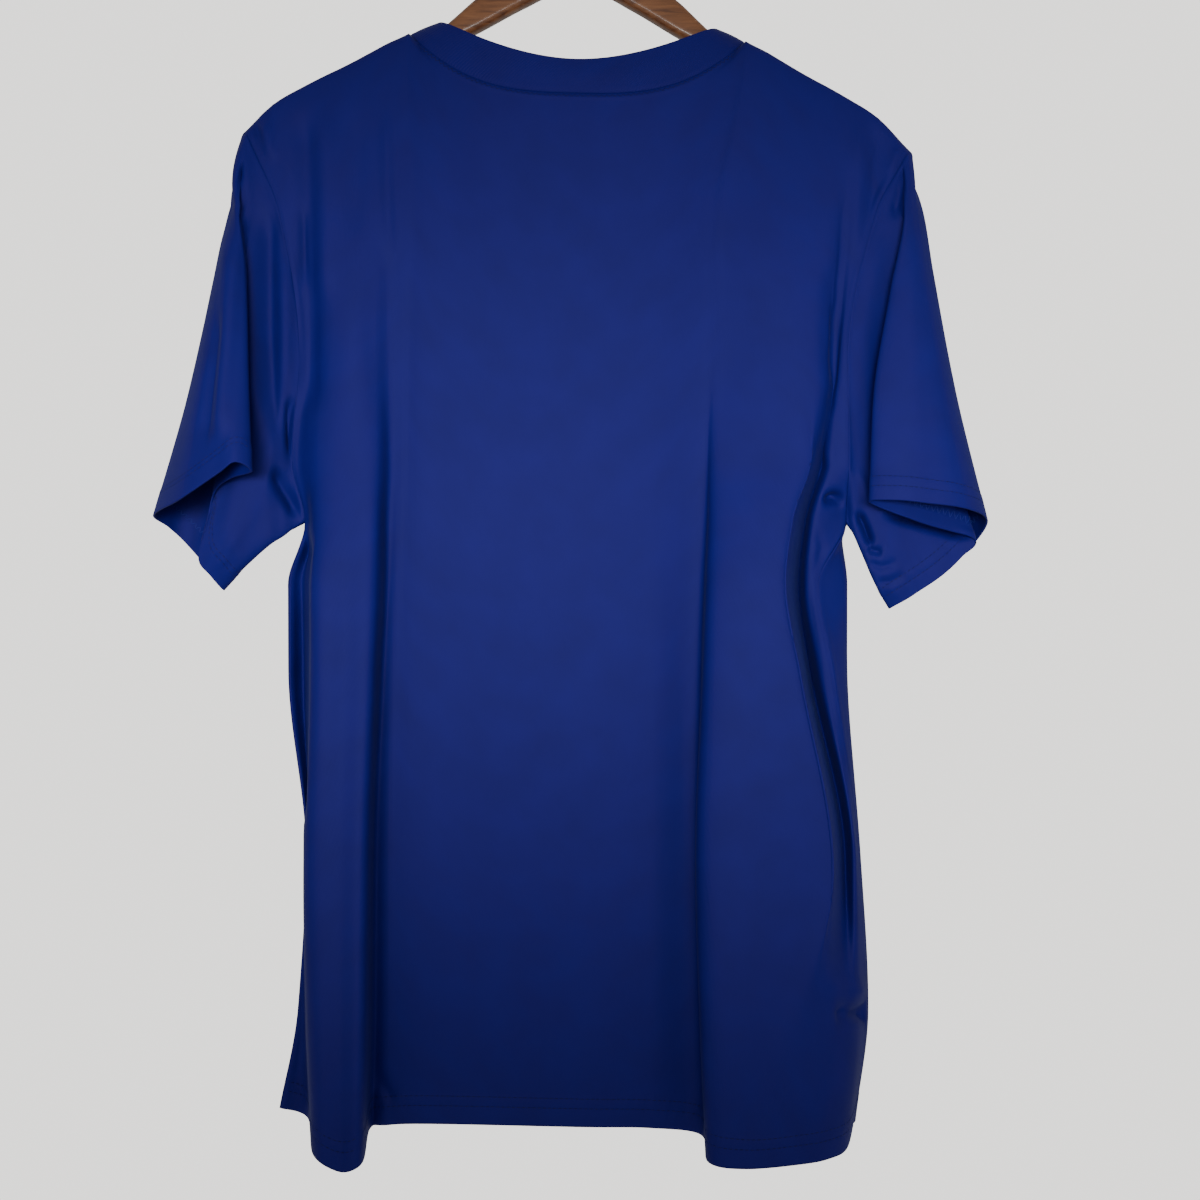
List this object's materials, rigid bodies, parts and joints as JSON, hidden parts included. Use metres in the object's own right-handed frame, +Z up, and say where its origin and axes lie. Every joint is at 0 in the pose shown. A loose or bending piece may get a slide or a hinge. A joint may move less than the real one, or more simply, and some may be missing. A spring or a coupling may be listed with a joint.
{
  "type": "t-shirt on hanger",
  "caption": "Short-sleeved crew-neck t-shirt with set-in sleeves and a ribbed neckband, hanging in soft folds on a flat wooden hanger with a steel hook.",
  "frame": {"origin": "underside of the hook's top bend, where a rail carries the hanger", "axes": "+Z up along the hook and shirt, +Y towards the shirt's front, +X towards the wearer's right sleeve"},
  "size_m": [0.5372, 0.1043, 0.845],
  "materials": {
    "jersey": "smooth knit",
    "wood": "varnished",
    "steel": "satin"
  },
  "bodies": {
    "root": {"back_panel": "jersey", "front_panel": "jersey", "sleeve_left": "jersey", "sleeve_right": "jersey", "neckband": "jersey", "hanger_arms": "wood", "hanger_hook": "steel"}
  },
  "joints": []
}
